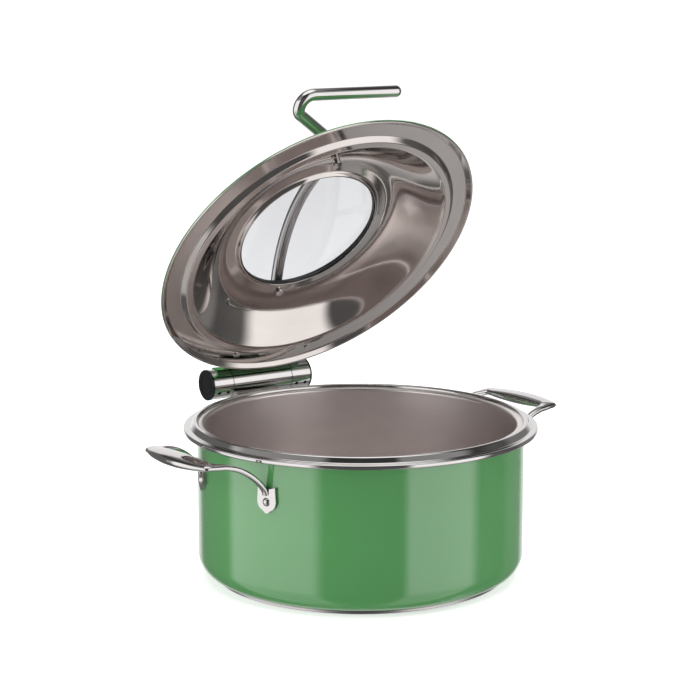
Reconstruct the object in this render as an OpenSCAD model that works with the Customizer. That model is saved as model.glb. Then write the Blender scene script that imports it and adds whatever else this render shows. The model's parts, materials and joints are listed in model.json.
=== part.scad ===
// Round soup kettle with a drop-in insert pot, a hinged lid with a glass window,
// a bent-rod lid handle and two cast side handles.
// Frame: Z = 0 is the table, the origin is the centre of the base, the front is -Y.
// The lid is drawn closed and then swung open about the hinge axis.

/* [Kettle] */
// Outer radius of the polished rim
rim_r = 175; // [168:1:185]
// Height of the crest of the rim above the table
kettle_h = 156; // [140:1:180]
// Thickness of the induction base plate
base_t = 2.8; // [2:0.2:4]
// Outer radius of the curve between the wall and the bottom
corner_r = 20; // [15:1:26]
// Sheet thickness of the kettle wall and the rim
sheet_t = 1.5; // [1:0.1:1.8]

/* [Insert pot] */
// Sheet thickness of the insert pot
insert_t = 1; // [0.8:0.1:1.2]
// Water space between the two bottoms
water_gap = 19; // [12:1:30]

/* [Lid] */
// Opening angle of the lid
lid_open = 52.3; // [0:0.1:90]
// Height of the flat crown above the flange
dome_rise = 28.7; // [22:0.1:34]
// Radius of the clear window
window_r = 74; // [66:1:78]
// Thickness of the window glass
glass_t = 4; // [3:0.5:5]
// Sheet thickness of each lid skin
skin_t = 1; // [0.8:0.1:1.2]

/* [Lid handle] */
// Diameter of the bent rod
rod_d = 12; // [9:0.5:13]
// Length of the straight grip, over the bend and the free end
grip_len = 116; // [105:1:135]
// Height of the rod's arch over its feet
arch_rise = 21.6; // [16:0.2:26]
// Distance of each foot's screw from the lid's centre
foot_y = 89.5; // [87:0.5:92]

/* [Hinge] */
// Diameter of the hinge barrel
barrel_d = 32; // [28:1:34]
// Length of the hinge barrel
barrel_len = 118.8; // [110:0.2:130]
// Length of each outer section of the barrel
knuckle_len = 23; // [20:0.5:26]
// Diameter of the hinge axle
axle_d = 8; // [7:0.5:10]
// Hinge axis behind the rim's outer edge
hinge_back = 23.5; // [21:0.5:28]
// Hinge axis above the rim's crest
hinge_up = 4.9; // [4:0.1:7]

/* [Side handles] */
// Middle of the grip's outer edge from the kettle's axis
grip_out = 230; // [224:1:240]
// Width of the grip at its middle
grip_w = 25; // [21:1:28]
// Thickness of the grip at its middle
grip_t = 11.5; // [9:0.5:14]
// Height of the rivets above the table
rivet_z = 106.5; // [99:0.5:112]
// Rivets sideways from the handle's middle
rivet_y = 52.6; // [49:0.2:56]
// Turn of the pair of handles about the kettle's axis, away from the lid hinge's line
handle_turn = 4.6; // [0:0.2:10]

/* [Hidden] */
$fn = 96;
// clearance of a turning fit, per side
run_gap = 0.05;
// gap between faces that pass each other
face_gap = 0.15;
// clearance of a fastener in its hole
hole_gap = 0.1;

// rim
wall_r = rim_r - 13.5;
flange_z = kettle_h - 5.8;
rim_low_z = kettle_h - 10.4;
ledge_z = kettle_h - 3.8;
ledge_r = wall_r - 4.2;
crest_r = rim_r - 11.5;

// insert pot
pot_r = wall_r - 6.5;
pot_corner = 20;
pot_low_z = base_t + sheet_t + water_gap;

// lid, in the closed pose
seat_z = kettle_h + 0.3;
hem_z = kettle_h - 3.7;
hem_r = rim_r - 2.5;
step_r = rim_r - 8.4;
bead_out_r = rim_r - 24.4;
bead_in_r = rim_r - 35;
bead_z = kettle_h - 4;
crown_r = rim_r - 87;
crown_z = seat_z + dome_rise;
lip_r = window_r + 2.2;
lip_low_z = crown_z - 3.4;
skin_gap = 0.3;
glass_z = crown_z + 1;
glass_r = window_r + 4.4;
opening_r = window_r + 6;

// hinge
hinge_y = rim_r + hinge_back;
hinge_z = kettle_h + hinge_up;
barrel_r = barrel_d / 2;
sleeve_half = barrel_len / 2 - knuckle_len;
axle_r = axle_d / 2;
bore_r = 11;
bush_len = 12;
washer_t = 0.6;
cap_t = 1.6;
plug_r = 12;
plug_len = 4;
set_screw_r = 2;
set_screw_step = 10.7;
set_screw_dir = 79;

// lid handle
foot_z = crown_z + 2 * skin_t + skin_gap + 1.2 + rod_d / 2;
grip_y = -(rim_r - 18);
grip_z = kettle_h + 56;
bend_x = -54.3;

// side handles
handle_top_z = kettle_h - 4;
plate_t = 3;
rivet_r = 2.5;
rivet_head_r = 4.2;
rivet_turn = asin(rivet_y / wall_r);

// ---------- shared shapes ----------

// points of an arc about c, from angle a to angle b
function arc(c, r, a, b, n = 6) =
  [for (i = [0:n]) c + r * [cos(a + (b - a) * i / n), sin(a + (b - a) * i / n)]];

function unit(v) = v / norm(v);
function left_of(v) = [-v[1], v[0]];

// the mitred side step at point i of an open path
function side_step(p, i) =
  let (
    last = len(p) - 1,
    before = unit(p[max(i, 1)] - p[max(i, 1) - 1]),
    after = unit(p[min(i, last - 1) + 1] - p[min(i, last - 1)]),
    n = unit(left_of(before) + left_of(after))
  ) n / (n * left_of(before));

// closed outline of sheet of thickness t on the left of an open path
function sheet(p, t) =
  concat(p, [for (i = [len(p) - 1:-1:0]) p[i] + t * side_step(p, i)]);

module turned_sheet(path, t) {
  rotate_extrude() polygon(sheet(path, t));
}

// a tube or rod along X, centred on the hinge axis
module on_hinge(x, length, r) {
  translate([x, hinge_y, hinge_z]) rotate([0, 90, 0]) cylinder(h = length, r = r);
}

// swings a piece of the closed lid to its opening angle
module swung() {
  translate([0, hinge_y, hinge_z]) rotate([-lid_open, 0, 0]) translate([0, -hinge_y, -hinge_z]) children();
}

// one closed skin over a list of rings, each a list of points, with flat ends
module skin_of(rings) {
  sides = len(rings[0]);
  last = len(rings) - 1;
  points = [for (ring = rings) for (p = ring) p];
  walls = [for (j = [0:last - 1]) for (i = [0:sides - 1]) let (
    a = j * sides + i, b = j * sides + (i + 1) % sides
  ) for (f = [[a, b, b + sides], [a, b + sides, a + sides]]) f];
  ends = [[for (i = [sides - 1:-1:0]) i], [for (i = [0:sides - 1]) last * sides + i]];
  polyhedron(points, concat(walls, ends));
}

// ---------- kettle ----------

module cup_outline(r, low, high, c) {
  union() {
    translate([0, low]) square([r - c, high - low]);
    translate([0, low + c]) square([r, high - low - c]);
    translate([r - c, low + c]) circle(c);
  }
}

module kettle_shell() {
  color([0.31, 0.60, 0.34]) difference() {
    rotate_extrude() difference() {
      cup_outline(wall_r, base_t, ledge_z - sheet_t, corner_r);
      cup_outline(wall_r - sheet_t, base_t + sheet_t, kettle_h, corner_r - sheet_t);
    }
    each_rivet() rivet_hole();
    for (x = bracket_rivet_x) bracket_hole(x);
  }
}

module base_plate() {
  r = wall_r - corner_r + 4;
  edge = 0.8;
  color([0.75, 0.74, 0.73]) rotate_extrude()
    polygon([[0, 0], [r - edge, 0], [r, edge], [r, base_t], [0, base_t]]);
}

// the rim's rolled section, from the ledge that holds the insert pot to the wall
rim_path = concat(
  [[ledge_r, ledge_z], [crest_r - 3.4, ledge_z]],
  [[crest_r - 2.8, kettle_h - 1.6]],
  arc([crest_r, kettle_h - 2.4], 2.4, 150, 35),
  [[rim_r - 6.8, flange_z + 0.3], [rim_r - 5.6, flange_z]],
  arc([rim_r - 1.4, flange_z - 1.4], 1.4, 90, 0, 4),
  arc([rim_r - 1.2, rim_low_z + 1.2], 1.2, 0, -90, 4),
  [[wall_r + 0.1, rim_low_z]]
);

module rim_ring() {
  color([0.72, 0.70, 0.69]) turned_sheet([for (i = [len(rim_path) - 1:-1:0]) rim_path[i]], 1.2);
}

pot_path = concat(
  [[0, pot_low_z]],
  arc([pot_r - pot_corner, pot_low_z + pot_corner], pot_corner, -90, 0),
  arc([pot_r + 2.4, ledge_z - 2.3], 2.4, 180, 100),
  [[wall_r - 1.6, ledge_z + 0.1]]
);

module insert_pot() {
  color([0.66, 0.63, 0.62]) turned_sheet(pot_path, insert_t);
}

// ---------- side handles ----------

module each_rivet(sides = [-1, 1]) {
  for (s = sides, e = [-1, 1])
    rotate([0, 0, handle_turn]) mirror([s < 0 ? 1 : 0, 0, 0]) rotate([0, 0, e * rivet_turn]) children();
}

module rivet_hole() {
  translate([wall_r - 6, 0, rivet_z]) rotate([0, 90, 0]) cylinder(h = 14, r = rivet_r + hole_gap);
}

// sections of one half of the handle, from its plate out along the leg and round into the grip
// each is [centre out from the wall, sideways from the rivet, up from the rivet,
// turn of its width, width, thickness]
leg_sections = [
  [-5.9, 0.2, 7, 108, 6.5, 5], [-4.7, 0.1, 11.5, 103, 6.6, 5.4], [-0.6, -0.2, 17, 94, 6.8, 5.6],
  [5.9, -0.7, 23.4, 90, 7, 5.6], [14.8, -1.6, 30.1, 90, 7.2, 5.6], [24.7, -2.6, 35.2, 88, 7.6, 5.7],
  [35.5, -4.2, 38.2, 84, 9.2, 5.8], [42, -5.4, 39, 76, 11.2, 6], [47.3, -6.4, 39.7, 61, 13.6, 6.2]
];
// the grip's sections: [sideways from the middle, how much of the bow has come, turn of its width]
grip_sections = [[45, 0, 34], [40, 0.12, 21], [32, 0.42, 6], [22, 0.7, 1], [11, 0.92, 0]];

inner_x = grip_out - grip_w;
// the grip's outer edge falls back towards the ends, and its width and thickness with it
function grip_section(y, bow, turn) =
  let (
    across = grip_w - (grip_w - 17.6) * pow(1 - bow, 1.2),
    thick = grip_t - (grip_t - 6.6) * (1 - bow),
    top = handle_top_z - 2 * (1 - bow),
    out = inner_x + 0.8 * (1 - bow) + (across / 2) * cos(turn)
  ) [[out, y, top - thick / 2], turn, across, thick];
function leg_section(v) = [[wall_r + v[0], rivet_y + v[1], rivet_z + v[2]], v[3], v[4], v[5]];
half_sections = concat(
  [for (v = leg_sections) leg_section(v)],
  [for (v = grip_sections) grip_section(v[0], v[1], v[2])]
);

handle_sides = 20;
function power(v, k) = sign(v) * pow(abs(v), k);
// a rounded section about c: a runs across, b runs along the depth
function section(c, a, b, w, h) =
  [for (i = [0:handle_sides - 1]) let (t = 360 * (i + 0.5) / handle_sides)
    c + a * (w / 2 * power(cos(t), 0.75)) + b * (h / 2 * power(sin(t), 0.85))];

function section_dir(i) =
  unit(half_sections[min(i + 1, len(half_sections) - 1)][0] - half_sections[max(i - 1, 0)][0]);
function half_rings() = [for (i = [0:len(half_sections) - 1]) let (
  s = half_sections[i],
  a = [cos(s[1]), sin(s[1]), 0],
  b = unit(cross(section_dir(i), a))
) section(s[0], a, b, s[2], s[3])];
function flipped(ring) = [for (p = ring) [p[0], -p[1], p[2]]];

shield = concat(
  [[0, 12], [4.5, 13], [9.6, 14.6], [10, 6]],
  arc([0, 1], 10.4, 5, -45, 4),
  arc([0, -7], 3.8, -30, -150, 5),
  arc([0, 1], 10.4, -135, -185, 4),
  [[-10, 6], [-9.6, 14.6], [-4.5, 13]]
);

module plate_blank() {
  translate([wall_r - 5, 0, rivet_z]) rotate([90, 0, 90]) linear_extrude(12) polygon(shield);
}

// the pair of plates that a handle's legs are welded to, curved to the wall
module handle_plates(side) {
  color([0.76, 0.74, 0.73]) difference() {
    intersection() {
      difference() {
        translate([0, 0, rivet_z - 20]) cylinder(h = 50, r = wall_r + plate_t + 0.1);
        translate([0, 0, rivet_z - 21]) cylinder(h = 52, r = wall_r + 0.1);
      }
      each_rivet([side]) plate_blank();
    }
    each_rivet([side]) rivet_hole();
  }
}

module handle_plates_left() {
  handle_plates(-1);
}

module handle_plates_right() {
  handle_plates(1);
}

module side_handle() {
  rings = half_rings();
  last = len(rings) - 1;
  m = grip_section(0, 1, 0);
  middle = section(m[0], [1, 0, 0], [0, 0, 1], m[2], m[3]);
  color([0.76, 0.74, 0.73]) skin_of(concat(rings, [middle], [for (i = [last:-1:0]) flipped(rings[i])]));
}

module side_handle_right() {
  rotate([0, 0, handle_turn]) side_handle();
}

module side_handle_left() {
  rotate([0, 0, handle_turn]) mirror([1, 0, 0]) side_handle();
}

// a rivet with a domed outer head and a flat inner head, along +X
module rivet(grip) {
  head = 2.4;
  ball = (rivet_head_r * rivet_head_r + head * head) / (2 * head);
  rotate([0, 90, 0]) {
    translate([0, 0, -grip - 1.5]) cylinder(h = 1.5, r = rivet_head_r);
    translate([0, 0, -grip - 0.2]) cylinder(h = grip + 0.4, r = rivet_r);
    intersection() {
      translate([0, 0, head - ball]) sphere(ball);
      cylinder(h = head, r = rivet_head_r);
    }
  }
}

module rivets_at(side) {
  color([0.70, 0.68, 0.67]) each_rivet([side])
    translate([wall_r + plate_t + 0.1, 0, rivet_z]) rivet(plate_t + sheet_t + 0.2);
}

module handle_rivets_left() {
  rivets_at(-1);
}

module handle_rivets_right() {
  rivets_at(1);
}

// ---------- hinge, kettle side ----------

bracket_half = 26;
bracket_rivet_x = [-16, 16];
bracket_rivet_z = kettle_h - 49;
bracket_seat_t = 4;

module bracket_hole(x) {
  turn = asin(x / wall_r);
  rotate([0, 0, 90 - turn]) translate([wall_r - 6, 0, bracket_rivet_z])
    rotate([0, 90, 0]) cylinder(h = 20, r = rivet_r + hole_gap);
}

// side outline of the bracket, Y across and Z up
bracket_outline = [
  [wall_r - 6, kettle_h - 60], [wall_r + 4, kettle_h - 60], [wall_r + 5, kettle_h - 36],
  [wall_r + 14, kettle_h - 27], [hinge_y + 4, kettle_h - 22], [hinge_y + 9, kettle_h - 15],
  [hinge_y + 9, hinge_z], [hinge_y - 9, hinge_z], [hinge_y - 9, kettle_h - 13],
  [wall_r + 8, kettle_h - 16], [wall_r - 6, kettle_h - 22]
];

module hinge_bracket() {
  color([0.70, 0.68, 0.67]) difference() {
    translate([bracket_half, 0, 0]) rotate([90, 0, -90]) mirror([1, 0, 0])
      linear_extrude(2 * bracket_half) polygon(bracket_outline);
    translate([0, 0, kettle_h - 70]) cylinder(h = 80, r = wall_r + 0.1);
    on_hinge(-bracket_half - 1, 2 * bracket_half + 2, barrel_r);
    for (x = bracket_rivet_x) bracket_hole(x);
    // flat seats for the outer rivet heads
    for (x = bracket_rivet_x) rotate([0, 0, 90 - asin(x / wall_r)])
      translate([wall_r + bracket_seat_t, 0, bracket_rivet_z]) rotate([0, 90, 0]) cylinder(h = 20, r = 5.5);
  }
}

module bracket_rivets() {
  color([0.70, 0.68, 0.67]) for (x = bracket_rivet_x) rotate([0, 0, 90 - asin(x / wall_r)])
    translate([wall_r + bracket_seat_t, 0, bracket_rivet_z]) rivet(bracket_seat_t + sheet_t);
}

module hinge_sleeve() {
  color([0.78, 0.76, 0.75]) difference() {
    on_hinge(-sleeve_half + washer_t, 2 * (sleeve_half - washer_t), barrel_r);
    on_hinge(-sleeve_half - 1, 2 * sleeve_half + 2, bore_r);
  }
}

module bush(side) {
  inner = sleeve_half - washer_t - bush_len;
  color([0.16, 0.16, 0.17]) difference() {
    on_hinge(side > 0 ? inner : -inner - bush_len, bush_len, bore_r);
    on_hinge(-sleeve_half - 1, 2 * sleeve_half + 2, axle_r + run_gap);
  }
}

module bush_left() {
  bush(-1);
}

module bush_right() {
  bush(1);
}

friction_len = 26;
module friction_bush() {
  slit = 1.2;
  color([0.72, 0.55, 0.28]) difference() {
    on_hinge(-friction_len / 2, friction_len, bore_r);
    on_hinge(-sleeve_half, 2 * sleeve_half, axle_r + run_gap);
    translate([-friction_len, hinge_y - slit / 2, hinge_z]) cube([2 * friction_len, slit, bore_r + 1]);
  }
}

// cupped spring washers that load the friction bush, two stacks
module disc_springs() {
  disc_t = 0.8;
  cup = 0.7;
  pitch = 1.6;
  color([0.45, 0.44, 0.46]) for (side = [-1, 1], i = [0:3]) let (flip = i % 2)
    translate([side * (friction_len / 2 + 0.6 + i * pitch), hinge_y, hinge_z])
      rotate([0, side * 90, 0]) rotate_extrude() polygon([
        [axle_r + 0.4, flip * cup], [bore_r - 0.8, (1 - flip) * cup],
        [bore_r - 0.8, (1 - flip) * cup + disc_t], [axle_r + 0.4, flip * cup + disc_t]
      ]);
}

module thrust_washers() {
  t = washer_t - face_gap;
  color([0.08, 0.08, 0.08]) for (side = [-1, 1]) difference() {
    on_hinge(side > 0 ? sleeve_half - washer_t : -sleeve_half + washer_t - t, t, barrel_r - 0.4);
    on_hinge(-sleeve_half - 2, 2 * sleeve_half + 4, axle_r + run_gap);
  }
}

// ---------- lid ----------

flank_steps = 12;
// height of the flank between the bead and the crown, t from 0 to 1
function flank_z(t) = bead_z + (crown_z - bead_z) * pow(sin(90 * t), 1.04);

liner_path = concat(
  [[hem_r, hem_z + 1.7]],
  arc([hem_r - 0.8, hem_z + 0.8], 0.8, 0, -110, 4),
  [[step_r, seat_z], [bead_out_r + 1, seat_z]],
  [[bead_out_r - 0.8, seat_z - 0.6], [bead_out_r - 3.2, bead_z + 1]],
  [[bead_out_r - 5.4, bead_z], [bead_in_r + 0.6, bead_z]],
  [for (i = [1:flank_steps]) [
    bead_in_r - (bead_in_r - crown_r) * i / flank_steps, flank_z(i / flank_steps)
  ]],
  [[lip_r + 4, crown_z], [lip_r + 1.6, crown_z - 0.7], [lip_r + 0.4, crown_z - 2], [lip_r, lip_low_z]]
);

module lid_liner() {
  color([0.74, 0.71, 0.70]) swung() difference() {
    turned_sheet(liner_path, -skin_t);
    each_handle_screw() cylinder(h = 20, r = 2.6, center = true);
    each_yoke_rivet() cylinder(h = 20, r = rivet_r + hole_gap, center = true);
  }
}

cover_rise = skin_t + skin_gap;
cover_path = concat(
  [[hem_r - 0.4, hem_z + 1.9], [hem_r - 2.2, hem_z + 3.5], [hem_r - 5.3, seat_z + cover_rise]],
  [[hem_r - 9.5, seat_z + cover_rise + 0.3]],
  [[bead_out_r, seat_z + cover_rise + 0.3], [bead_in_r + 5, seat_z + cover_rise + 0.3]],
  [for (i = [2:flank_steps]) [
    bead_in_r + 1.2 - (bead_in_r - crown_r) * i / flank_steps,
    max(flank_z(i / flank_steps) + cover_rise + 0.6 * (1 - i / flank_steps), seat_z + cover_rise + 0.8)
  ]],
  [[crown_r - 3, crown_z + cover_rise], [opening_r, crown_z + cover_rise]]
);

module lid_cover() {
  color([0.31, 0.60, 0.34]) swung() difference() {
    turned_sheet(cover_path, -skin_t);
    each_handle_screw() cylinder(h = 30, r = 2.6, center = true);
    each_yoke_rivet() cylinder(h = 30, r = rivet_r + hole_gap, center = true);
  }
}

seal_top_z = glass_z + glass_t;
module window_seal() {
  cover_top = crown_z + cover_rise + skin_t;
  color([0.06, 0.06, 0.06]) swung() rotate_extrude() polygon([
    [window_r, lip_low_z + 0.8], [window_r + 1, lip_low_z + 0.8], [window_r + 1, glass_z - 1.2],
    [glass_r, glass_z], [window_r, glass_z]
  ]);
  color([0.06, 0.06, 0.06]) swung() rotate_extrude() polygon([
    [glass_r, glass_z], [opening_r - 0.1, glass_z], [opening_r - 0.1, cover_top], [opening_r + 3, cover_top],
    [opening_r + 0.6, seal_top_z + 0.9], [glass_r - 1.8, seal_top_z + 0.9], [glass_r - 2.4, seal_top_z],
    [glass_r, seal_top_z]
  ]);
}

module window_glass() {
  chamfer = 0.6;
  color([0.85, 0.92, 0.92, 0.35]) swung() rotate_extrude() polygon([
    [0, glass_z], [glass_r, glass_z], [glass_r, seal_top_z - chamfer],
    [glass_r - chamfer, seal_top_z], [0, seal_top_z]
  ]);
}

// ---------- lid handle ----------

// corner points of the rod's centreline, each with its bend radius, front to back
arch_r = (foot_y * foot_y + arch_rise * arch_rise) / (2 * arch_rise);
rod_corners = [
  [[bend_x + grip_len - rod_d / 2, grip_y, grip_z], 0],
  [[bend_x, grip_y, grip_z], 14.2],
  [[bend_x, grip_y + 17.1, grip_z - 6.5], 7.6],
  [[0, -foot_y - 14, foot_z], 12],
  [[0, -foot_y + 1, foot_z], 14]
];

// point i of n on the rounded corner at b, between a and c
function rounded(a, b, c, r, n) =
  let (
    u = unit(a - b), v = unit(c - b),
    half = acos(u * v) / 2,
    cut = r / tan(half),
    centre = b + unit(u + v) * r / sin(half),
    from = b + u * cut - centre,
    sweep = 180 - 2 * half,
    side = unit((b + v * cut - centre) - from * cos(sweep))
  ) [for (i = [0:n]) centre + from * cos(sweep * i / n) + side * r * sin(sweep * i / n)];

arch_points = [for (i = [3:22]) let (
  half = asin(foot_y / arch_r), t = -half + 2 * half * i / 22
) [0, arch_r * sin(t), foot_z + arch_rise - arch_r * (1 - cos(t))]];

rod_path = concat(
  [rod_corners[0][0]],
  rounded(rod_corners[0][0], rod_corners[1][0], rod_corners[2][0], rod_corners[1][1], 8),
  rounded(rod_corners[1][0], rod_corners[2][0], rod_corners[3][0], rod_corners[2][1], 6),
  rounded(rod_corners[2][0], rod_corners[3][0], rod_corners[4][0], rod_corners[3][1], 5),
  rounded(rod_corners[3][0], rod_corners[4][0], arch_points[0], rod_corners[4][1], 3),
  arch_points,
  [[0, foot_y + 4, foot_z - 0.8]]
);

rod_sides = 12;
function path_dir(p, i) = unit(p[min(i + 1, len(p) - 1)] - p[max(i - 1, 0)]);
// carries the section's side direction along the path without twist
function carried(p, i) = i == 0
  ? unit(cross(path_dir(p, 0), [0, 0, 1]))
  : let (d = path_dir(p, i), s = carried(p, i - 1)) unit(s - d * (s * d));
function rod_ring(c, d, s, r) = let (q = cross(d, s))
  [for (k = [0:rod_sides - 1]) let (t = 360 * k / rod_sides) c + r * (s * cos(t) + q * sin(t))];

module lid_handle() {
  r = rod_d / 2;
  n = len(rod_path) - 1;
  d0 = path_dir(rod_path, 0);
  dn = path_dir(rod_path, n);
  s0 = carried(rod_path, 0);
  sn = carried(rod_path, n);
  // the front end is a full dome, the back end a flatter one
  tip = [for (a = [75, 45, 15]) rod_ring(rod_path[0] - d0 * r * sin(a), d0, s0, r * cos(a))];
  tail = [for (a = [20, 55])
    rod_ring(rod_path[n] + dn * r * 0.5 * sin(a), dn, sn, r * (0.55 + 0.45 * cos(a)))];
  body = [for (i = [0:n]) rod_ring(rod_path[i], path_dir(rod_path, i), carried(rod_path, i), r)];
  color([0.76, 0.74, 0.73]) swung() skin_of(concat(tip, body, tail));
}

module each_handle_screw() {
  for (e = [-1, 1]) translate([0, e * foot_y, crown_z]) children();
}

module handle_spacers() {
  low = crown_z + cover_rise + skin_t;
  color([0.70, 0.68, 0.67]) swung() for (e = [-1, 1]) difference() {
    translate([0, e * foot_y, low]) cylinder(h = foot_z - low, r = 5.5);
    translate([0, e * foot_y, low - 1]) cylinder(h = 20, r = 2.6);
    translate([0, e * foot_y, foot_z]) rotate([90, 0, 0]) cylinder(h = 30, r = rod_d / 2, center = true);
  }
}

screw_head = 2;
// the heads stand just off the liner, which already falls away beyond the crown
screw_stand = 0.7;
// pan-head screws from inside the lid up into the rod
module handle_screws() {
  color([0.70, 0.68, 0.67]) swung() each_handle_screw() {
    translate([0, 0, -screw_head - screw_stand]) cylinder(h = screw_head, r = 4);
    translate([0, 0, -screw_stand - 0.1]) cylinder(h = foot_z - crown_z - rod_d / 2 + 4, r = 2.4);
  }
}

// ---------- hinge, lid side ----------

yoke_half = barrel_len / 2 - 9;
yoke_t = 3;
yoke_low_z = seat_z + cover_rise + 0.35 + skin_t;
yoke_rivet_x = 44;
yoke_rivet_y = rim_r - 25.5;

module each_yoke_rivet() {
  for (e = [-1, 1]) translate([e * yoke_rivet_x, yoke_rivet_y, seat_z]) children();
}

yoke_bend = [
  [rim_r - 1, yoke_low_z],
  [hinge_y - 9, hinge_z + barrel_r - 4.5],
  [hinge_y, hinge_z + barrel_r - 3.4]
];
module hinge_yoke() {
  path = concat([[rim_r - 36, yoke_low_z]], yoke_bend);
  color([0.31, 0.60, 0.34]) swung() difference() {
    translate([yoke_half, 0, 0]) rotate([90, 0, -90]) mirror([1, 0, 0])
      linear_extrude(2 * yoke_half) polygon(sheet(path, yoke_t));
    // room for the fixed middle of the barrel
    on_hinge(-sleeve_half - 0.2, 2 * sleeve_half + 0.4, barrel_r + 1.2);
    for (side = [-1, 1])
      on_hinge(side > 0 ? sleeve_half : -sleeve_half - knuckle_len - 1, knuckle_len + 1, barrel_r);
    // the middle of the plate follows the dome
    translate([0, 0, yoke_low_z - 1]) cylinder(h = yoke_t + 2, r = bead_in_r + 5.5);
    each_yoke_rivet() cylinder(h = 30, r = rivet_r + hole_gap, center = true);
  }
}

module yoke_rivets() {
  top = yoke_low_z + yoke_t;
  color([0.70, 0.68, 0.67]) swung() each_yoke_rivet() {
    translate([0, 0, -1.2]) cylinder(h = 1.2, r = 3.4);
    translate([0, 0, -0.1]) cylinder(h = top - seat_z + 0.2, r = rivet_r);
    translate([0, 0, top - seat_z]) cylinder(h = 1.8, r = 4);
  }
}

module knuckle(side) {
  start = side > 0 ? sleeve_half + face_gap : -sleeve_half - knuckle_len;
  length = knuckle_len - face_gap;
  end_x = side > 0 ? barrel_len / 2 : -barrel_len / 2;
  color([0.78, 0.76, 0.75]) swung() difference() {
    on_hinge(start, length, barrel_r);
    on_hinge(start - 1, length + 2, axle_r);
    on_hinge(side > 0 ? end_x - plug_len : end_x - 1, plug_len + 1, plug_r);
    each_set_screw([side]) cylinder(h = barrel_r + 2, r = set_screw_r);
  }
}

module knuckle_left() {
  knuckle(-1);
}

module knuckle_right() {
  knuckle(1);
}

module each_set_screw(sides = [-1, 1]) {
  middle = sleeve_half + knuckle_len / 2;
  for (s = sides, e = [-1, 1]) translate([s * middle + e * set_screw_step / 2, hinge_y, hinge_z])
    rotate([90 + set_screw_dir, 0, 0]) children();
}

module set_screws() {
  sunk = 3;
  color([0.25, 0.25, 0.26]) swung() each_set_screw() difference() {
    translate([0, 0, axle_r]) cylinder(h = barrel_r - sunk - axle_r, r = set_screw_r);
    translate([0, 0, barrel_r - sunk - 2]) cylinder(h = 3, r = 1);
  }
}

module hinge_axle() {
  length = barrel_len - 2 * plug_len - 1;
  color([0.60, 0.59, 0.58]) swung() on_hinge(-length / 2, length, axle_r);
}

module end_cap(side) {
  end_x = side * barrel_len / 2;
  ring_r = 11;
  color([0.03, 0.03, 0.03]) swung() difference() {
    union() {
      on_hinge(side > 0 ? end_x : end_x - cap_t, cap_t, barrel_r + 0.3);
      on_hinge(side > 0 ? end_x - plug_len + 0.3 : end_x, plug_len - 0.3, plug_r - 0.1);
    }
    // a plain turned groove in the face
    translate([end_x + side * (cap_t - 0.4), hinge_y, hinge_z]) rotate([0, side * 90, 0]) difference() {
      cylinder(h = 2, r = ring_r);
      translate([0, 0, -1]) cylinder(h = 4, r = ring_r - 1.2);
    }
  }
}

module end_cap_left() {
  end_cap(-1);
}

module end_cap_right() {
  end_cap(1);
}

kettle_shell();
base_plate();
rim_ring();
insert_pot();
side_handle_left();
side_handle_right();
handle_plates_left();
handle_plates_right();
handle_rivets_left();
handle_rivets_right();
hinge_bracket();
bracket_rivets();
hinge_sleeve();
bush_left();
bush_right();
friction_bush();
disc_springs();
thrust_washers();
lid_cover();
lid_liner();
window_seal();
window_glass();
lid_handle();
handle_spacers();
handle_screws();
hinge_yoke();
yoke_rivets();
knuckle_left();
knuckle_right();
hinge_axle();
end_cap_left();
end_cap_right();
set_screws();
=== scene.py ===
import json
import math
import bpy
import numpy as np
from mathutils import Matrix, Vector


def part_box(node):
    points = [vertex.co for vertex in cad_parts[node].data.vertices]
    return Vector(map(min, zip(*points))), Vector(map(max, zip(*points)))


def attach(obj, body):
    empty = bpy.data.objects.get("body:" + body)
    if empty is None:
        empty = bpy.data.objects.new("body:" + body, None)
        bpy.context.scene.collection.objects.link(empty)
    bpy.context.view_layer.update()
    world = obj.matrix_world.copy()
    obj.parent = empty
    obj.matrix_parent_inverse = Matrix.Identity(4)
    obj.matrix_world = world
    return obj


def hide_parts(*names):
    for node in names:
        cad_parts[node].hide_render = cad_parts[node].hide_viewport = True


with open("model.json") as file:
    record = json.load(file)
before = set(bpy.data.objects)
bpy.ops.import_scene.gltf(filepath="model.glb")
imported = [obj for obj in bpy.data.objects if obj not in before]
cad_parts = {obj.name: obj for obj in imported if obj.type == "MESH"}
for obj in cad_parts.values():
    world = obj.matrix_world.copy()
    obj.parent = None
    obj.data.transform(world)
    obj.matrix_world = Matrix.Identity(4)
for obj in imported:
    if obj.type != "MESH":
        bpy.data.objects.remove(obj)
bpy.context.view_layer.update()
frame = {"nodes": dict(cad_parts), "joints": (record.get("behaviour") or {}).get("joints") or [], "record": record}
print("frame loaded:", len(frame["nodes"]), "nodes")

# sizes taken from the frame, in millimetres
mm = 0.001


def sizeOf(node):
    low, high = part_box(node)
    return np.array(low) / mm, np.array(high) / mm


rimLow, rimHigh = sizeOf("rim_ring")
rimR, kettleH, rimLowZ = rimHigh[0], rimHigh[2], rimLow[2]
wallR = sizeOf("kettle_shell")[1][0]
baseT = sizeOf("base_plate")[1][2]
potLowZ = sizeOf("insert_pot")[0][2]
hinge = frame["joints"][0]
hingeY, hingeZ = hinge["pos_m"][1] / mm, hinge["pos_m"][2] / mm
lidOpen = math.radians(-hinge["range_deg"][0])
ledgeZ = kettleH - 3.8
seatZ = kettleH + 0.3
crownZ = seatZ + 28.7


# mesh tools
def swing(p):
    # the closed lid turned back about the hinge axis by the opening angle
    a, b = p[..., 1] - hingeY, p[..., 2] - hingeZ
    c, s = math.cos(lidOpen), math.sin(lidOpen)
    return np.stack([p[..., 0], a * c + b * s + hingeY, -a * s + b * c + hingeZ], -1)


def unit(v):
    return v / np.maximum(np.linalg.norm(v, axis=-1, keepdims=True), 1e-12)


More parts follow.
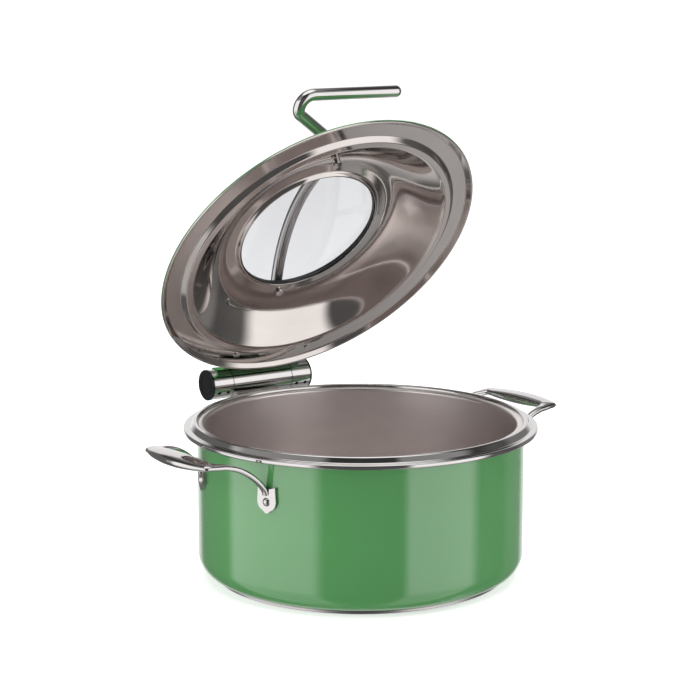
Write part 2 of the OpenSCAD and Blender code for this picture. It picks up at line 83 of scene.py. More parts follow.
def makePiece(name, points, quads, tris, grain, sharp=38):
    mesh = bpy.data.meshes.new(name)
    mesh.from_pydata((points * mm).tolist(), [], quads.tolist() + tris.tolist())
    mark = mesh.attributes.new("grain", "FLOAT_VECTOR", "POINT")
    mark.data.foreach_set("vector", grain.astype(np.float32).ravel())
    mesh.polygons.foreach_set("use_smooth", np.ones(len(mesh.polygons), bool))
    mesh.set_sharp_from_angle(angle=math.radians(sharp))
    mesh.validate()
    mesh.update()
    piece = bpy.data.objects.new(name, mesh)
    bpy.context.scene.collection.objects.link(piece)
    return piece


def gridFaces(rows, cols, closedRows):
    # quads between neighbouring rows; columns always close on themselves
    i = np.arange(rows if closedRows else rows - 1)[:, None]
    j = np.arange(cols)[None, :]
    i2, j2 = (i + 1) % rows, (j + 1) % cols
    return np.stack([i * cols + j, i * cols + j2, i2 * cols + j2, i2 * cols + j], -1).reshape(-1, 4)


def loft(name, rings, place=None, sharp=38):
    # rings: rows by columns by 3, each row one closed ring; both ends are shut with a fan about their middle
    rows, cols = rings.shape[:2]
    quads = gridFaces(rows, cols, False)
    middle = rings.mean(1)
    along = np.concatenate([[0], np.cumsum(np.linalg.norm(np.diff(middle, axis=0), axis=-1))])
    turn = np.arange(cols) / cols * 2 * np.pi
    grain = np.stack([
        np.repeat(along, cols) * mm, np.tile(np.cos(turn), rows), np.tile(np.sin(turn), rows)
    ], -1)
    first, last = rows * cols, rows * cols + 1
    points = np.concatenate([rings.reshape(-1, 3), middle[:1], middle[-1:]])
    grain = np.concatenate([grain, [[0, 0, 0]], [[along[-1] * mm, 0, 0]]])
    j = np.arange(cols)
    j2 = (j + 1) % cols
    tris = np.concatenate([
        np.stack([np.full(cols, first), j2, j], -1),
        np.stack([np.full(cols, last), (rows - 1) * cols + j, (rows - 1) * cols + j2], -1),
    ])
    return orient(name, points, quads, tris, grain, place, sharp)


def orient(name, points, quads, tris, grain, place, sharp):
    # a closed skin's signed volume says whether its faces point out
    p = points
    a, b, c, d = (p[quads[:, k]] for k in range(4))
    volume = np.einsum("ij,ij->i", a, np.cross(b, c)).sum() + np.einsum("ij,ij->i", a, np.cross(c, d)).sum()
    if len(tris):
        volume += np.einsum("ij,ij->i", p[tris[:, 0]], np.cross(p[tris[:, 1]], p[tris[:, 2]])).sum()
    if volume < 0:
        quads, tris = quads[:, ::-1], tris[:, ::-1]
    if place:
        points = place(points)
    return makePiece(name, points, quads, tris, grain, sharp)


def turned(name, outline, place=None, segments=256, sharp=38):
    # outline (radius, height) carried round the axis: a closed loop, or a line from the axis back to the axis
    outline = np.array(outline, float)
    turn = np.arange(segments) / segments * 2 * np.pi
    onAxis = outline[0, 0] < 1e-6
    ringLine = outline[1:-1] if onAxis else outline
    r, z = ringLine[:, 0][:, None], ringLine[:, 1][:, None]
    grid = np.stack([r * np.cos(turn), r * np.sin(turn), np.broadcast_to(z, (len(ringLine), segments))], -1)
    steps = np.linalg.norm(np.diff(ringLine, axis=0), axis=-1)
    along = np.concatenate([[0], np.cumsum(steps)])
    grain = np.stack([
        np.tile(np.cos(turn), len(ringLine)), np.tile(np.sin(turn), len(ringLine)),
        np.repeat(along, segments) * mm,
    ], -1)
    quads = gridFaces(len(ringLine), segments, not onAxis)
    points = grid.reshape(-1, 3)
    tris = np.zeros((0, 3), int)
    if onAxis:
        low, high = len(points), len(points) + 1
        points = np.concatenate([points, [[0, 0, outline[0, 1]]], [[0, 0, outline[-1, 1]]]])
        grain = np.concatenate([grain, [[0, 0, -0.01]], [[0, 0, along[-1] * mm + 0.01]]])
        j = np.arange(segments)
        j2 = (j + 1) % segments
        last = (len(ringLine) - 1) * segments
        tris = np.concatenate([
            np.stack([np.full(segments, low), j2, j], -1),
            np.stack([np.full(segments, high), last + j, last + j2], -1),
        ])
    return orient(name, points, quads, tris, grain, place, sharp)


def rounded(corners, steps=6):
    # corners (radius, height, fillet): each inner corner becomes an arc that touches both legs,
    # with a point just before and after it
    corners = np.array(corners, float)
    out = [corners[0, :2]]
    for before, here, after in zip(corners[:-2], corners[1:-1], corners[2:]):
        p, fillet = here[:2], here[2]
        u, v = unit(before[:2] - p), unit(after[:2] - p)
        half = math.acos(float(np.clip(u @ v, -1, 1))) / 2
        if fillet <= 0 or half > math.radians(89.5):
            out.append(p)
            continue
        cut = fillet / math.tan(half)
        room = 0.49 * min(np.linalg.norm(before[:2] - p), np.linalg.norm(after[:2] - p))
        if cut > room:
            cut, fillet = room, room * math.tan(half)
        centre = p + unit(u + v) * fillet / math.sin(half)
        a, b = p + u * cut - centre, p + v * cut - centre
        sweep = math.pi - 2 * half
        side = unit(b - a * math.cos(sweep))
        t = np.linspace(0, sweep, steps + 1)[:, None]
        arc = centre + a * np.cos(t) + side * fillet * np.sin(t)
        lead = min(0.3 * cut, room - cut + 1e-6)
        out += [p + u * (cut + lead)] + list(arc) + [p + v * (cut + lead)]
    out.append(corners[-1, :2])
    line = np.array(out)
    keep = np.concatenate([[True], np.linalg.norm(np.diff(line, axis=0), axis=-1) > 1e-4])
    return line[keep]


def smoothed(points, perStep=8):
    # a curve through every point, each stretch a cubic whose slopes come from its neighbours
    p = np.array(points, float)
    ends = np.concatenate([[2 * p[0] - p[1]], p, [2 * p[-1] - p[-2]]])
    a, b, c, d = ends[:-3], ends[1:-2], ends[2:-1], ends[3:]
    t = (np.arange(perStep) / perStep)[None, :, None]
    a, b, c, d = (q[:, None, :] for q in (a, b, c, d))
    second, third = 2 * a - 5 * b + 4 * c - d, 3 * b - a - 3 * c + d
    curve = 0.5 * (2 * b + (c - a) * t + second * t ** 2 + third * t ** 3)
    return np.concatenate([curve.reshape(-1, p.shape[1]), p[-1:]])


def sheetLoop(path, thick, openStart=False):
    # bent sheet: the path, a half-round end, the path set off by the thickness to its left,
    # and the other half-round end
    d = unit(np.diff(path, axis=0))
    before = np.concatenate([d[:1], d])
    after = np.concatenate([d, d[-1:]])
    left = lambda v: np.stack([-v[:, 1], v[:, 0]], -1)
    n = unit(left(before) + left(after))
    off = path + thick * n / np.maximum((n * left(before)).sum(1), 0.3)[:, None]
    bend = np.linspace(0, math.pi, 7)[1:-1][:, None]

    def cap(a, b, out):
        middle, arm = (a + b) / 2, (a - b) / 2
        return middle + arm * np.cos(bend) + out * np.linalg.norm(arm) * np.sin(bend)

    parts = [path, cap(path[-1], off[-1], d[-1]), off[::-1]]
    if not openStart:
        parts.append(cap(off[0], path[0], -d[0]))
    return np.concatenate(parts)


# materials
def newMaterial(name, values):
    mat = bpy.data.materials.new(name)
    mat.use_nodes = True
    shader = mat.node_tree.nodes["Principled BSDF"]
    for key, value in values.items():
        shader.inputs[key].default_value = (*value, 1.0) if isinstance(value, tuple) else value
    return mat, mat.node_tree.nodes, mat.node_tree.links, shader


def noiseOn(nodes, links, coords, scale, stretch=(1, 1, 1), detail=3.0):
    mapping = nodes.new("ShaderNodeMapping")
    mapping.inputs["Scale"].default_value = stretch
    noise = nodes.new("ShaderNodeTexNoise")
    noise.inputs["Scale"].default_value = scale
    noise.inputs["Detail"].default_value = detail
    links.new(coords, mapping.inputs["Vector"])
    links.new(mapping.outputs["Vector"], noise.inputs["Vector"])
    return noise.outputs["Fac"]


def ranged(nodes, links, value, low, high):
    remap = nodes.new("ShaderNodeMapRange")
    remap.inputs["From Min"].default_value = 0.3
    remap.inputs["From Max"].default_value = 0.7
    remap.inputs["To Min"].default_value = low
    remap.inputs["To Max"].default_value = high
    links.new(value, remap.inputs["Value"])
    return remap.outputs["Result"]


def tinted(nodes, links, value, dark, light):
    ramp = nodes.new("ShaderNodeValToRGB")
    ramp.color_ramp.elements[0].position, ramp.color_ramp.elements[1].position = 0.3, 0.7
    ramp.color_ramp.elements[0].color = (*dark, 1)
    ramp.color_ramp.elements[1].color = (*light, 1)
    links.new(value, ramp.inputs["Fac"])
    return ramp.outputs["Color"]


def bumped(nodes, links, shader, value, strength, distance):
    bump = nodes.new("ShaderNodeBump")
    bump.inputs["Strength"].default_value = strength
    bump.inputs["Distance"].default_value = distance
    links.new(value, bump.inputs["Height"])
    links.new(bump.outputs["Normal"], shader.inputs["Normal"])


def objectCoords(nodes):
    return nodes.new("ShaderNodeTexCoord").outputs["Object"]


def grainCoords(nodes):
    source = nodes.new("ShaderNodeAttribute")
    source.attribute_name = "grain"
    return source.outputs["Vector"]


def shade(colour, factor):
    return tuple(c * factor for c in colour)


# metal: colour, how rough it is at least and at most, and how its grain runs
metalLooks = {
    "polishedSteel": {"colour": (0.62, 0.60, 0.59), "rough": (0.035, 0.075), "grain": 0.0},
    "linerSteel": {"colour": (0.60, 0.555, 0.53), "rough": (0.045, 0.075), "grain": 0.02},
    "potSteel": {"colour": (0.86, 0.80, 0.785), "rough": (0.30, 0.38), "grain": 0.10},
    "baseSteel": {"colour": (0.55, 0.53, 0.52), "rough": (0.26, 0.36), "grain": 0.08},
    "groundSteel": {"colour": (0.45, 0.44, 0.44), "rough": (0.18, 0.28), "grain": 0.0},
    "blackSteel": {"colour": (0.08, 0.08, 0.085), "rough": (0.30, 0.42), "grain": 0.0},
    "bronze": {"colour": (0.62, 0.42, 0.20), "rough": (0.28, 0.40), "grain": 0.0},
}


def metal(name):
    look = metalLooks[name]
    mat, nodes, links, shader = newMaterial(name, {"Metallic": 1.0, "Base Color": look["colour"]})
    onGrain = look["grain"] > 0
    coords = grainCoords(nodes) if onGrain else objectCoords(nodes)
    wide = noiseOn(nodes, links, coords, 6.0 if onGrain else 22.0, (0.5, 0.5, 8) if onGrain else (1, 1, 1), 2.0)
    cloud = tinted(nodes, links, wide, shade(look["colour"], 0.965), shade(look["colour"], 1.03))
    links.new(cloud, shader.inputs["Base Color"])
    if onGrain:
        lines = noiseOn(nodes, links, coords, 1.0, (2.5, 2.5, 3200), 4.0)
        links.new(ranged(nodes, links, lines, *look["rough"]), shader.inputs["Roughness"])
        bumped(nodes, links, shader, lines, look["grain"], 0.00012)
    else:
        marks = noiseOn(nodes, links, coords, 160.0, (1, 1, 0.25), 5.0)
        links.new(ranged(nodes, links, marks, *look["rough"]), shader.inputs["Roughness"])
        fine = noiseOn(nodes, links, coords, 30.0, (1, 1, 1), 1.0)
        bumped(nodes, links, shader, fine, 0.06, 0.00008)
    return mat


lacquerLook = {"colour": (0.069, 0.260, 0.076), "deep": (0.063, 0.243, 0.069), "peel": 0.05, "coatRough": 0.035}


def lacquer():
    mat, nodes, links, shader = newMaterial("greenLacquer", {
        "Base Color": lacquerLook["colour"], "Roughness": 0.42, "Coat Weight": 1.0,
        "Coat Roughness": lacquerLook["coatRough"], "Coat IOR": 1.9, "Specular IOR Level": 0.2,
    })
    coords = objectCoords(nodes)
    cloud = noiseOn(nodes, links, coords, 9.0, (1, 1, 1), 2.0)
    depth = tinted(nodes, links, cloud, lacquerLook["deep"], lacquerLook["colour"])
    links.new(depth, shader.inputs["Base Color"])
    flake = noiseOn(nodes, links, coords, 700.0, (1, 1, 1), 2.0)
    links.new(ranged(nodes, links, flake, 0.36, 0.48), shader.inputs["Roughness"])
    peel = noiseOn(nodes, links, coords, 260.0, (1, 1, 1), 2.0)
    bumped(nodes, links, shader, peel, lacquerLook["peel"], 0.0001)
    return mat


mouldLooks = {
    "sealRubber": {"colour": (0.012, 0.012, 0.013), "rough": (0.42, 0.55), "bump": 0.12, "scale": 900.0},
    "capBlack": {"colour": (0.005, 0.005, 0.006), "rough": (0.05, 0.10), "bump": 0.03, "scale": 400.0},
    "bearingPlastic": {"colour": (0.02, 0.02, 0.022), "rough": (0.35, 0.5), "bump": 0.1, "scale": 700.0},
}


def moulded(name):
    look = mouldLooks[name]
    mat, nodes, links, shader = newMaterial(name, {"Base Color": look["colour"], "Roughness": look["rough"][0]})
    coords = objectCoords(nodes)
    spots = noiseOn(nodes, links, coords, look["scale"], (1, 1, 1), 3.0)
    links.new(ranged(nodes, links, spots, *look["rough"]), shader.inputs["Roughness"])
    speckle = tinted(nodes, links, spots, shade(look["colour"], 0.85), shade(look["colour"], 1.2))
    links.new(speckle, shader.inputs["Base Color"])
    bumped(nodes, links, shader, spots, look["bump"], 0.00005)
    return mat


glassLook = {"colour": (0.675, 0.68, 0.695), "deep": (0.665, 0.67, 0.685), "pale": (0.685, 0.69, 0.705)}


def clearGlass():
    mat, nodes, links, shader = newMaterial("clearGlass", {
        "Base Color": glassLook["colour"], "Roughness": 0.0, "IOR": 1.45, "Transmission Weight": 1.0,
    })
    coords = objectCoords(nodes)
    haze = noiseOn(nodes, links, coords, 14.0, (1, 1, 1), 2.0)
    links.new(ranged(nodes, links, haze, 0.0, 0.012), shader.inputs["Roughness"])
    tone = tinted(nodes, links, haze, glassLook["deep"], glassLook["pale"])
    links.new(tone, shader.inputs["Base Color"])
    return mat


finish = {
    "green_lacquer": lacquer(), "polished_steel": metal("polishedSteel"), "lid_steel": metal("linerSteel"),
    "satin_steel": metal("potSteel"), "spring_steel": metal("groundSteel"), "dark_steel": metal("blackSteel"),
    "bronze": metal("bronze"), "bearing_plastic": moulded("bearingPlastic"), "cap_black": moulded("capBlack"),
    "seal_rubber": moulded("sealRubber"), "window_glass": clearGlass(),
}
baseFinish = metal("baseSteel")
slotOf = {part["node"]: part["material_slot"] for part in frame["record"]["subparts"]}
bodyOf = {node: body for body, members in frame["record"]["behaviour"]["bodies"].items() for node in members}


def paint(obj, mat):
    obj.data.materials.clear()
    obj.data.materials.append(mat)


def standsFor(piece, *nodes, mat=None):
    # the new piece takes over the place, the body and the finish of its CAD nodes
    paint(piece, mat or finish[slotOf[nodes[0]]])
    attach(piece, bodyOf[nodes[0]])
    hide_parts(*nodes)
    return piece


for nodeName, nodeObject in frame["nodes"].items():
    paint(nodeObject, finish[slotOf[nodeName]])
print("finishes made:", len(finish) + 1)

# kettle body: sheet thickness, bottom corner, and the base plate's lower edge
bodyShape = {"sheet": 1.5, "corner": 20.0, "baseEdge": 0.7}


def cupLine(r, low, high, corner):
    # half of a cup's section, from the axis out and up the wall
    return rounded([(0, low, 0), (r, low, corner), (r, high, 0)], steps=16)


wallTopZ = ledgeZ - bodyShape["sheet"]
wallInR, floorZ = wallR - bodyShape["sheet"], baseT + bodyShape["sheet"]
outer = cupLine(wallR, baseT, wallTopZ, bodyShape["corner"])
inner = cupLine(wallInR, floorZ, wallTopZ, bodyShape["corner"] - bodyShape["sheet"])
standsFor(turned("kettleShell", np.concatenate([outer, inner[::-1]]), segments=320), "kettle_shell")

baseR = sizeOf("base_plate")[1][0]
baseLine = rounded([(0, 0, 0), (baseR, 0, bodyShape["baseEdge"]), (baseR, baseT, 0.15), (0, baseT, 0)], steps=5)
standsFor(turned("basePlate", baseLine), "base_plate", mat=baseFinish)

# rim
rimShape = {"sheet": 1.2, "crestRadius": 2.4, "rollRadius": 1.7, "crestIn": 11.5, "flangeDrop": 5.8}
crestR = rimR - rimShape["crestIn"]
flangeZ = kettleH - rimShape["flangeDrop"]
rimLine = rounded([
    (wallR - 4.2, ledgeZ, 0), (crestR - 3.4, ledgeZ, 0.5), (crestR - 2.5, kettleH, rimShape["crestRadius"]),
    (crestR + 1.3, kettleH, rimShape["crestRadius"]), (rimR - 6.4, flangeZ, 1.6),
    (rimR, flangeZ, rimShape["rollRadius"]), (rimR, rimLowZ, 1.5), (wallR + 0.1, rimLowZ, 0),
], steps=8)
standsFor(turned("rimRing", sheetLoop(rimLine[::-1], rimShape["sheet"]), segments=320), "rim_ring")

# insert pot
potShape = {"sheet": 1.0, "corner": 20.0, "lip": 2.4}
potR = wallR - 6.5
potLine = rounded([
    (0, potLowZ, 0), (potR, potLowZ, potShape["corner"]),
    (potR, ledgeZ + 0.1, potShape["lip"]), (wallR - 1.7, ledgeZ + 0.1, 0),
], steps=14)
potLoop = sheetLoop(potLine, potShape["sheet"], openStart=True)
potLoop[-1, 0] = 0.0
standsFor(turned("insertPot", potLoop, segments=320), "insert_pot")
print("kettle, rim and insert pot made")

# lid
lidShape = {"sheet": 1.0, "flankPower": 1.04, "flankSteps": 40, "crownIn": 87.0, "coverRise": 1.3}
hemR, hemZ, stepR = rimR - 2.5, kettleH - 3.7, rimR - 8.4
beadOutR, beadInR, beadZ = rimR - 24.4, rimR - 35, kettleH - 4
crownR = rimR - lidShape["crownIn"]
windowR = sizeOf("window_glass")[1][0] - 4.4
lipR = windowR + 2.2


def flankZ(t):
    # the flank climbs from the bead to the crown as a power of a quarter sine
    return beadZ + (crownZ - beadZ) * np.sin(t * math.pi / 2) ** lidShape["flankPower"]


t = np.linspace(0.02, 1, lidShape["flankSteps"])
flank = np.stack([beadInR - (beadInR - crownR) * t, flankZ(t)], -1)
outerPart = rounded([
    (hemR, hemZ + 1.7, 0), (hemR, hemZ, 0.8), (hemR - 2.0, hemZ, 0.8), (stepR, seatZ, 1.2),
    (beadOutR + 0.6, seatZ, 1.4), (beadOutR - 3.6, beadZ, 2.4), (beadInR + 0.6, beadZ, 1.2),
    tuple(flank[0]) + (0,),
], steps=7)
innerPart = rounded([
    tuple(flank[-1]) + (0,), (lipR + 2.6, crownZ, 3.0), (lipR, crownZ - 3.4, 0),
], steps=8)
linerLine = np.concatenate([outerPart[:-1], flank, innerPart[1:]])
linerPiece = turned("lidLiner", sheetLoop(linerLine[::-1], lidShape["sheet"]), place=swing, segments=360)
standsFor(linerPiece, "lid_liner")

# the cover lies just above the liner: its flank, its edge down to the hem, and its flat crown
coverZ = seatZ + lidShape["coverRise"]
t = np.linspace(0.17, 0.97, 30)
coverFlank = np.stack([
    beadInR + 1.2 - (beadInR - crownR) * t,
    np.maximum(flankZ(t) + lidShape["coverRise"] + 0.6 * (1 - t), coverZ + 0.8),
], -1)
coverTop = rounded([
    (hemR - 0.4, hemZ + 1.9, 0), (hemR - 2.2, hemZ + 3.5, 2), (hemR - 5.3, coverZ, 3),
    (hemR - 9.5, coverZ + 0.3, 4), (beadInR + 5, coverZ + 0.3, 3), tuple(coverFlank[0]) + (0,),
], steps=8)
crownTopZ = crownZ + lidShape["coverRise"]
coverCrown = [[crownR - 3, crownTopZ], [windowR + 6, crownTopZ]]
coverLine = np.concatenate([coverTop[:-1], coverFlank, coverCrown])
coverPiece = turned("lidCover", sheetLoop(coverLine[::-1], lidShape["sheet"]), place=swing, segments=320)
standsFor(coverPiece, "lid_cover")
print("lid skins made")

# lid handle, one bent round rod
rodShape = {"diameter": 12.0, "sides": 48, "bendX": -54.3, "gripEnd": 55.7, "archRise": 21.6, "footY": 89.5}
rodR = rodShape["diameter"] / 2
footY = rodShape["footY"]
footZ = crownZ + 3.5 + rodR
gripY, gripZ = -(rimR - 18), kettleH + 56


def bent(corners, steps=10):
    # corners (x, y, z, bend radius): a centreline of straight legs joined by round bends
    corners = np.array(corners, float)
    out = [corners[:1, :3]]
    for before, here, after in zip(corners[:-2, :3], corners[1:-1], corners[2:, :3]):
        p, bend = here[:3], here[3]
        u, v = unit(before - p), unit(after - p)
        half = math.acos(float(u @ v)) / 2
        cut = bend / math.tan(half)
        centre = p + unit(u + v) * bend / math.sin(half)
        a, b = p + u * cut - centre, p + v * cut - centre
        sweep = math.pi - 2 * half
        side = unit(b - a * math.cos(sweep))
        t = np.linspace(0, sweep, steps + 1)[:, None]
        out.append(centre + a * np.cos(t) + side * bend * np.sin(t))
    return np.concatenate(out + [corners[-1:, :3]])


def rodRings(path, radius, sides, startRound, endRound):
    # circles square to the path, with a domed end on each side
    # no stretch of the path is upright, so each circle starts from level
    d = unit(np.gradient(path, axis=0))
    turn = np.linspace(0, math.pi / 2, 9)

    def dome(p, way, flat):
        rise, fall = np.sin(turn[:-1]), np.cos(turn[:-1])
        return p + way * radius * flat * rise[:, None], radius * (1 - flat + flat * fall)

    startP, startR = dome(path[0], -d[0], startRound)
    endP, endR = dome(path[-1], d[-1], endRound)
    centres = np.concatenate([startP[::-1], path[1:-1], endP])
    radii = np.concatenate([startR[::-1], np.full(len(path) - 2, radius), endR])
    ways = np.concatenate([np.repeat(d[:1], len(startP), 0), d[1:-1], np.repeat(d[-1:], len(endP), 0)])
    side = unit(np.cross(ways, [0, 0, 1.0]))
    up = np.cross(side, ways)
    a = (np.arange(sides) / sides * 2 * math.pi)[None, :, None]
    return centres[:, None] + radii[:, None, None] * (side[:, None] * np.cos(a) + up[:, None] * np.sin(a))


archR = (footY ** 2 + rodShape["archRise"] ** 2) / (2 * rodShape["archRise"])
archHalf = math.asin(footY / archR)
arch = np.linspace(-archHalf * 0.72, archHalf, 60)
archTopZ = footZ + rodShape["archRise"]
archLine = np.stack([0 * arch, archR * np.sin(arch), archTopZ - archR * (1 - np.cos(arch))], -1)
bendX = rodShape["bendX"]
front = bent([
    (rodShape["gripEnd"], gripY, gripZ, 0), (bendX, gripY, gripZ, 14.2),
    (bendX, gripY + 17.1, gripZ - 6.5, 7.6),
    (0, -footY - 14, footZ, 12), (0, -footY + 1, footZ, 14), (*archLine[0], 0),
])
rodLine = np.concatenate([front[:-1], archLine, [[0, footY + 4, footZ - 0.8]]])
rings = rodRings(rodLine, rodR, rodShape["sides"], 1.0, 0.45)
standsFor(loft("lidHandle", rings, place=swing), "lid_handle")

# side handles
gripShape = {
    "out": 230.0, "width": 25.0, "endWidth": 17.6, "thick": 11.5, "endThick": 6.6, "drop": 4.0, "turn": 4.6,
    "sides": 48, "perStep": 8,
}
rivetY, rivetZ = 52.6, 106.5
# leg sections: out from the wall, sideways and up from the rivet, turn of the width, width, thickness
legSections = np.array([
    (-5.9, 0.2, 7, 108, 6.5, 5), (-4.7, 0.1, 11.5, 103, 6.6, 5.4), (-0.6, -0.2, 17, 94, 6.8, 5.6),
    (5.9, -0.7, 23.4, 90, 7, 5.6), (14.8, -1.6, 30.1, 90, 7.2, 5.6), (24.7, -2.6, 35.2, 88, 7.6, 5.7),
    (35.5, -4.2, 38.2, 84, 9.2, 5.8), (42, -5.4, 39, 76, 11.2, 6), (47.3, -6.4, 39.7, 61, 13.6, 6.2),
]) + np.array([wallR, rivetY, rivetZ, 0, 0, 0])
# grip sections: sideways from the middle, how much of the bow has come, turn of the width
gripSections = np.array([
    (45, 0, 34), (40, 0.12, 21), (32, 0.42, 6), (22, 0.7, 1), (11, 0.92, 0), (0, 1, 0),
], float)


def halfHandle():
    y, bow, turn = gripSections.T
    wide = gripShape["width"] - (gripShape["width"] - gripShape["endWidth"]) * (1 - bow) ** 1.2
    thick = gripShape["thick"] - (gripShape["thick"] - gripShape["endThick"]) * (1 - bow)
    inner = gripShape["out"] - gripShape["width"]
    topZ = kettleH - gripShape["drop"] - 2 * (1 - bow)
    x = inner + 0.8 * (1 - bow) + wide / 2 * np.cos(np.radians(turn))
    grip = np.stack([x, y, topZ - thick / 2, turn, wide, thick], -1)
    return np.concatenate([legSections, grip])


def gripRings():
    # superellipse sections carried along the leg and the grip, then mirrored about the handle's middle
    rows = smoothed(halfHandle(), gripShape["perStep"])
    turn = np.radians(rows[:, 3])
    across = np.stack([np.cos(turn), np.sin(turn), 0 * turn], -1)
    way = unit(np.gradient(rows[:, :3], axis=0))
    up = unit(np.cross(way, across))
    t = ((np.arange(gripShape["sides"]) + 0.5) / gripShape["sides"] * 2 * math.pi)[None, :, None]
    c, s = np.cos(t), np.sin(t)
    w, h = rows[:, 4][:, None, None] / 2, rows[:, 5][:, None, None] / 2
    half = rows[:, None, :3] + across[:, None] * w * np.sign(c) * np.abs(c) ** 0.75
    half = half + up[:, None] * h * np.sign(s) * np.abs(s) ** 0.85
    return np.concatenate([half, half[-2::-1] * np.array([1, -1, 1])])


def handleTurned(p):
    a = math.radians(gripShape["turn"])
    x, y, z = p[..., 0], p[..., 1], p[..., 2]
    return np.stack([x * math.cos(a) - y * math.sin(a), x * math.sin(a) + y * math.cos(a), z], -1)


rings = gripRings()
standsFor(loft("sideHandleRight", rings, place=handleTurned), "side_handle_right")
standsFor(loft("sideHandleLeft", rings * np.array([-1, 1, 1]), place=handleTurned), "side_handle_left")
print("handles made")

# stage and light
studio = {"floor": 40.0, "floorColour": (0.86, 0.86, 0.86), "floorGlow": 0.55, "sky": 1.0}
floorMesh = bpy.data.meshes.new("floor")
f = studio["floor"]
floorMesh.from_pydata([(-f, -f, 0), (f, -f, 0), (f, f, 0), (-f, f, 0)], [], [(0, 1, 2, 3)])
floor = bpy.data.objects.new("floor", floorMesh)
bpy.context.scene.collection.objects.link(floor)
floorMat, nodes, links, shader = newMaterial("paleFloor", {
    "Base Color": studio["floorColour"], "Roughness": 0.9, "Specular IOR Level": 0.0,
    "Emission Color": (1.0, 1.0, 1.0), "Emission Strength": studio["floorGlow"],
})
paint(floor, floorMat)
floor.visible_glossy = False

# the studio's own brightness, as degrees and levels: soft boxes by compass angle from the camera's side
# and how far they reach in height, what lies overhead and underfoot, and a paler patch of table behind
compass = [(-180, 1.0), (-160, 1.0), (-145, 0.16), (-108, 0.14), (-97, 1.35), (-36, 1.35), (-24, 0.08),
           (28, 0.08), (36, 1.3), (80, 1.35), (93, 0.12), (116, 0.08), (126, 0.22), (146, 0.22),
           (160, 0.9), (180, 1.0)]
heights = [(-90, 0.0), (-76, 0.22), (-55, 0.42), (-30, 0.6), (-13, 1.0), (26, 1.0), (34, 0.25),
           (60, 0.2), (90, 0.1)]
overhead = [(-90, 0.12), (-60, 0.09), (-30, 0.05), (0, 0.02), (55, 0.03), (66, 1.3), (90, 1.45)]
patchAround = [(-180, 0.2), (-150, 0.2), (-135, 0), (98, 0), (110, 0.42), (150, 0.42), (180, 0.2)]
patchHeight = [(-63, 0), (-57, 0.5), (-53, 1.0), (-48, 0.5), (-42, 0)]
cameraAngle = (-34.02, 10.81)


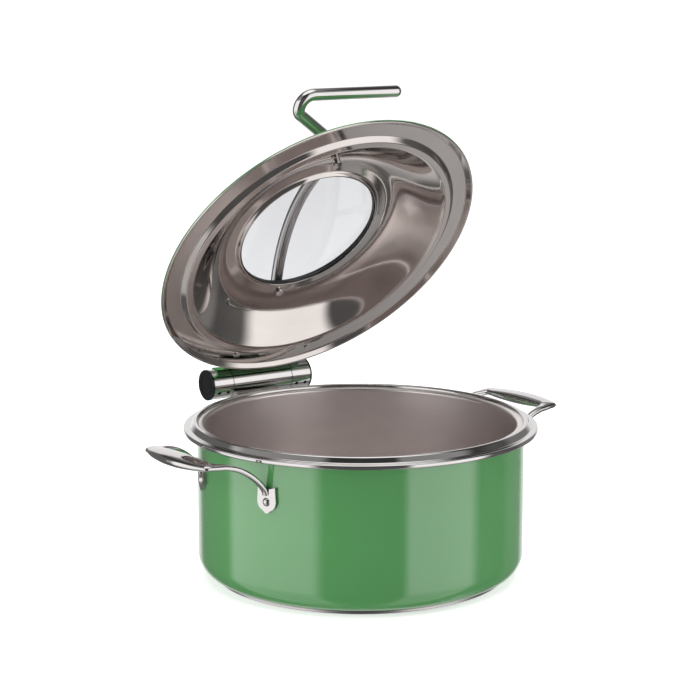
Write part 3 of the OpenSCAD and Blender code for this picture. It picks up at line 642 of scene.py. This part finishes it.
def studioLight():
    world = bpy.data.worlds.new("studio")
    bpy.context.scene.world = world
    world.use_nodes = True
    nodes, links = world.node_tree.nodes, world.node_tree.links
    background = nodes["Background"]

    def maths(kind, a, b=None):
        node = nodes.new("ShaderNodeMath")
        node.operation = kind
        for socket, value in zip(node.inputs, (a, b)):
            if isinstance(value, (int, float)):
                socket.default_value = value
            elif value is not None:
                links.new(value, socket)
        return node.outputs[0]

    def ramped(value, stops, low, high, scale):
        ramp = nodes.new("ShaderNodeValToRGB")
        ramp.color_ramp.interpolation = "EASE"
        elements = ramp.color_ramp.elements
        while len(elements) > 1:
            elements.remove(elements[-1])
        for k, (at, level) in enumerate(stops):
            spot = (at - low) / (high - low)
            element = elements[0] if k == 0 else elements.new(spot)
            element.position = spot
            element.color = (level / scale, level / scale, level / scale, 1)
        links.new(value, ramp.inputs["Fac"])
        return ramp.outputs["Color"]

    def mixed(kind, a, b):
        node = nodes.new("ShaderNodeMix")
        node.data_type, node.blend_type = "RGBA", kind
        node.inputs["Factor"].default_value = 1.0
        links.new(a, node.inputs["A"])
        links.new(b, node.inputs["B"])
        return node.outputs["Result"]

    way = nodes.new("ShaderNodeTexCoord").outputs["Generated"]
    turned = nodes.new("ShaderNodeVectorRotate")
    turned.rotation_type = "Z_AXIS"
    turned.inputs["Angle"].default_value = math.radians(90 - cameraAngle[0])
    links.new(way, turned.inputs["Vector"])
    parts = nodes.new("ShaderNodeSeparateXYZ")
    links.new(turned.outputs["Vector"], parts.inputs["Vector"])
    angle = maths("ARCTAN2", parts.outputs["Y"], parts.outputs["X"])
    around = maths("ADD", maths("DIVIDE", angle, 2 * math.pi), 0.5)
    height = maths("ADD", maths("DIVIDE", maths("ARCSINE", parts.outputs["Z"]), math.pi), 0.5)
    scale = 2.0
    boxAround = ramped(around, compass, -180, 180, scale)
    boxes = mixed("MULTIPLY", boxAround, ramped(height, heights, -90, 90, 1.0))
    tableAround = ramped(around, patchAround, -180, 180, scale)
    patch = mixed("MULTIPLY", tableAround, ramped(height, patchHeight, -90, 90, 1.0))
    total = mixed("ADD", mixed("ADD", boxes, patch), ramped(height, overhead, -90, 90, scale))
    links.new(total, background.inputs["Color"])
    background.inputs["Strength"].default_value = scale * studio["sky"]
    plain = nodes.new("ShaderNodeBackground")
    plain.inputs["Color"].default_value = (1, 1, 1, 1)
    path = nodes.new("ShaderNodeLightPath")
    mix = nodes.new("ShaderNodeMixShader")
    links.new(path.outputs["Is Camera Ray"], mix.inputs["Fac"])
    links.new(background.outputs[0], mix.inputs[1])
    links.new(plain.outputs[0], mix.inputs[2])
    links.new(mix.outputs[0], nodes["World Output"].inputs["Surface"])


studioLight()


def softBox(name, place, target, size, power):
    light = bpy.data.lights.new(name, "AREA")
    light.shape, light.size, light.energy = "SQUARE", size, power
    lamp = bpy.data.objects.new(name, light)
    bpy.context.scene.collection.objects.link(lamp)
    lamp.location = place
    lamp.rotation_mode = "QUATERNION"
    lamp.rotation_quaternion = (Vector(target) - Vector(place)).to_track_quat("-Z", "Y")
    return lamp


lamps = [
    softBox("topLight", (0.2, 0.1, 2.6), (0, 0, 0.1), 2.4, 34.0),
    softBox("rightFill", (1.45, -0.35, 0.5), (0, 0, 0.1), 0.8, 10.0),
    softBox("leftFill", (-1.2, 0.1, 0.5), (0, 0, 0.1), 0.8, 4.5),
]
for lamp in lamps:
    lamp.visible_glossy = False

# camera
view = {"angle": cameraAngle, "distance": 1.99976, "target": (-0.01262, 0.0, 0.22494), "lens": 104.99}
az, el = (math.radians(a) for a in view["angle"])
back = Vector((math.sin(az) * math.cos(el), -math.cos(az) * math.cos(el), math.sin(el)))
cameraData = bpy.data.cameras.new("camera")
cameraData.lens, cameraData.sensor_width = view["lens"], 36.0
cameraData.clip_start, cameraData.clip_end = 0.05, 200.0
camera = bpy.data.objects.new("camera", cameraData)
bpy.context.scene.collection.objects.link(camera)
camera.location = Vector(view["target"]) + back * view["distance"]
camera.rotation_mode = "QUATERNION"
camera.rotation_quaternion = (-back).to_track_quat("-Z", "Y")
bpy.context.scene.camera = camera
bpy.context.scene.view_settings.view_transform = "Standard"

print("scene ready")
